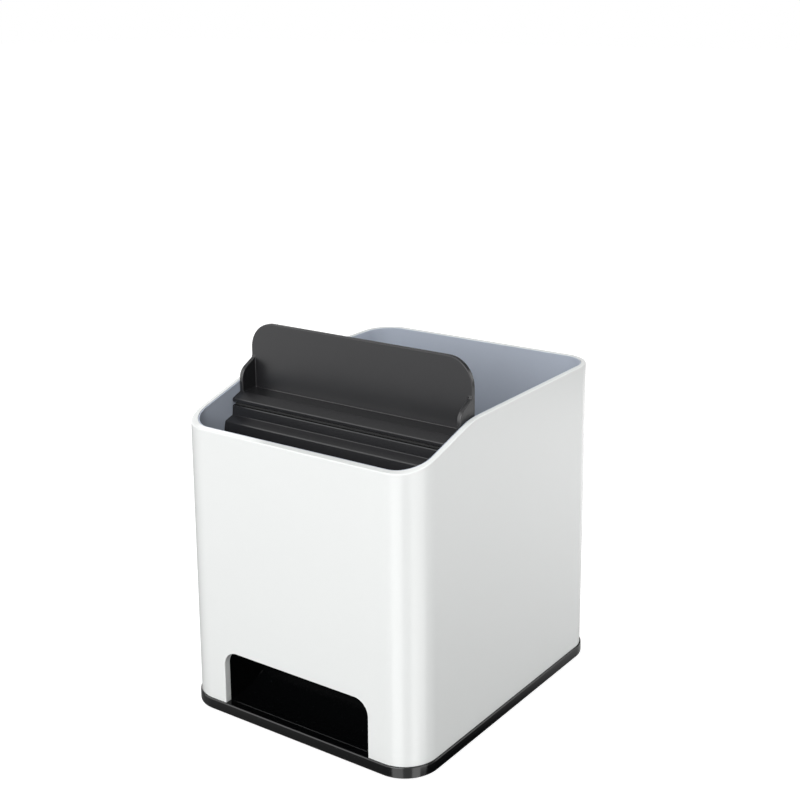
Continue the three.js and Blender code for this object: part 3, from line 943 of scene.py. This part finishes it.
class HOLDER_OT_stage(bpy.types.Operator):
    """Sets up the floor, the soft studio light, the white background and the camera"""
    bl_idname = "pen_holder.stage"
    bl_label = "Stage"

    def execute(self, context):
        settings = context.scene.holder_stage
        context.scene.view_settings.view_transform = "Standard"
        self.add_floor()
        self.add_sky(context.scene, settings.sky_strength)
        for name, place, size, power in LIGHTS:
            self.add_light(name, [part * MM for part in place], size * MM, getattr(settings, power))
        for card in CARDS:
            self.add_card(*card)
        self.add_camera(context.scene, settings)
        return {"FINISHED"}

    @staticmethod
    def seen_directly(tree):
        """A factor that is 1 for rays from the camera, off gloss or through glass."""
        path = add_node(tree, "ShaderNodeLightPath").outputs
        camera_or_gloss = add_node(tree, "ShaderNodeMath", {"operation": "MAXIMUM"},
                                   {0: path["Is Camera Ray"], 1: path["Is Glossy Ray"]})
        any_of_them = add_node(tree, "ShaderNodeMath", {"operation": "MAXIMUM"},
                               {0: camera_or_gloss.outputs[0], 1: path["Is Transmission Ray"]})
        return any_of_them.outputs[0]

    def add_floor(self):
        """A pale floor that looks white, keeps a shadow, and sends back little light."""
        floor_width, dull_level, pale_level, glow_strength = 12.0, 0.5, 0.45, 0.8
        bpy.ops.object.select_all(action="DESELECT")
        bpy.ops.mesh.primitive_plane_add(size=floor_width)
        floor = bpy.context.object
        floor.name = "studio_floor"
        material = new_material("floor_pale_board")
        tree = material.node_tree
        dull = add_node(tree, "ShaderNodeBsdfDiffuse", {"Color": (*[dull_level] * 3, 1)})
        pale = add_node(tree, "ShaderNodeBsdfDiffuse", {"Color": (*[pale_level] * 3, 1)})
        glow = add_node(tree, "ShaderNodeEmission", {"Strength": glow_strength})
        white = add_node(tree, "ShaderNodeAddShader",
                         links={0: pale.outputs["BSDF"], 1: glow.outputs["Emission"]})
        either = add_node(tree, "ShaderNodeMixShader", links={
            "Fac": self.seen_directly(tree), 1: dull.outputs["BSDF"], 2: white.outputs["Shader"]})
        add_node(tree, "ShaderNodeOutputMaterial", links={"Surface": either.outputs["Shader"]})
        floor.data.materials.append(material)
        floor.visible_glossy = False

    def add_sky(self, scene, strength):
        """An even sky, white where it is seen."""
        world = bpy.data.worlds.new("studio_sky")
        world.use_nodes = True
        tree = world.node_tree
        tree.nodes.clear()
        level = add_node(tree, "ShaderNodeMapRange", {"To Min": strength, "To Max": 1.0},
                         {"Value": self.seen_directly(tree)})
        sky = add_node(tree, "ShaderNodeBackground", {"Color": (1, 1, 1, 1)},
                       {"Strength": level.outputs["Result"]})
        add_node(tree, "ShaderNodeOutputWorld", links={"Surface": sky.outputs["Background"]})
        scene.world = world

    @staticmethod
    def add_card(name, start, end, bottom, top, lower, upper):
        """A curved card that only gloss shows. Its strength changes between two heights."""
        radius, sides = 1.5, 360
        lower_level, upper_level = -0.85, -0.42
        bpy.ops.object.select_all(action="DESELECT")
        bpy.ops.mesh.primitive_cylinder_add(vertices=sides, radius=radius, depth=top - bottom,
                                            location=(0, 0, (top + bottom) / 2),
                                            end_fill_type="NOTHING")
        card = settle(name)
        select_where(card, "FACE", lambda centre, normal: not start <= (math.degrees(
            math.atan2(centre.x, -centre.y)) - start) % 360 + start <= end)
        bpy.ops.mesh.delete(type="FACE")
        mode("OBJECT")
        material = new_material(name)
        tree = material.node_tree
        place = add_node(tree, "ShaderNodeTexCoord").outputs["Object"]
        height = add_node(tree, "ShaderNodeSeparateXYZ", links={"Vector": place}).outputs["Z"]
        strength = add_node(tree, "ShaderNodeMapRange", {
            "From Min": lower_level, "From Max": upper_level, "To Min": lower, "To Max": upper},
            {"Value": height})
        glow = add_node(tree, "ShaderNodeEmission", links={"Strength": strength.outputs["Result"]})
        add_node(tree, "ShaderNodeOutputMaterial", links={"Surface": glow.outputs["Emission"]})
        card.data.materials.append(material)
        card.visible_camera = card.visible_diffuse = card.visible_shadow = False

    @staticmethod
    def add_light(name, place, size, power):
        """A square soft light that faces the holder."""
        aim = (cad_bounds[0] + cad_bounds[1]) / 2
        way = Vector(place) - aim
        bpy.ops.object.light_add(type="AREA", location=place,
                                 rotation=way.to_track_quat("Z", "Y").to_euler())
        light = bpy.context.object
        light.name = name
        light.data.size = size
        light.data.energy = power
        light.visible_camera = False

    @staticmethod
    def add_camera(scene, settings):
        """The photograph's view."""
        turn = (math.pi / 2 - settings.camera_dip, 0, settings.camera_turn)
        bpy.ops.object.camera_add(location=settings.camera_place, rotation=turn)
        camera = bpy.context.object
        camera.name = "camera"
        camera.data.lens = settings.lens
        camera.data.shift_x, camera.data.shift_y = settings.shift
        camera.data.clip_start = 10 * MM
        scene.camera = camera


GROUPS = {
    "holder_shell": ShellSizes, "holder_liner": LinerSizes, "holder_base": BaseSizes,
    "holder_cradle": CradleSizes, "holder_backrest": BackrestSizes, "holder_horn": HornSizes,
    "holder_small": SmallSizes, "holder_finishes": FinishColours, "holder_stage": StageSettings,
}
OPERATORS = [
    HOLDER_OT_stage, HOLDER_OT_outer_shell, HOLDER_OT_inner_liner, HOLDER_OT_base_plate,
    HOLDER_OT_cradle_housing, HOLDER_OT_backrest, HOLDER_OT_joint_seal, HOLDER_OT_horn_body,
    HOLDER_OT_slot_pad, HOLDER_OT_feet, HOLDER_OT_screws,
]


class HOLDER_PT_panel(bpy.types.Panel):
    """Lists the sizes, the colours and the steps that build the holder"""
    bl_idname = "HOLDER_PT_panel"
    bl_label = "Pen Holder"
    bl_space_type = "VIEW_3D"
    bl_region_type = "UI"
    bl_category = "Pen Holder"

    def draw(self, context):
        for group in GROUPS:
            settings = getattr(context.scene, group)
            box = self.layout.box()
            box.label(text=settings.bl_rna.description)
            for name in settings.__annotations__:
                box.prop(settings, name)
        for operator in OPERATORS:
            self.layout.operator(operator.bl_idname)


def register():
    for group in GROUPS.values():
        bpy.utils.register_class(group)
    for name, group in GROUPS.items():
        setattr(bpy.types.Scene, name, PointerProperty(type=group))
    for operator in OPERATORS:
        bpy.utils.register_class(operator)
    bpy.utils.register_class(HOLDER_PT_panel)


def unregister():
    bpy.utils.unregister_class(HOLDER_PT_panel)
    for operator in reversed(OPERATORS):
        bpy.utils.unregister_class(operator)
    for name, group in reversed(GROUPS.items()):
        delattr(bpy.types.Scene, name)
        bpy.utils.unregister_class(group)


def main():
    register()
    for operator in OPERATORS:
        family, action = operator.bl_idname.split(".")
        getattr(getattr(bpy.ops, family), action)()


if __name__ == "__main__":
    main()
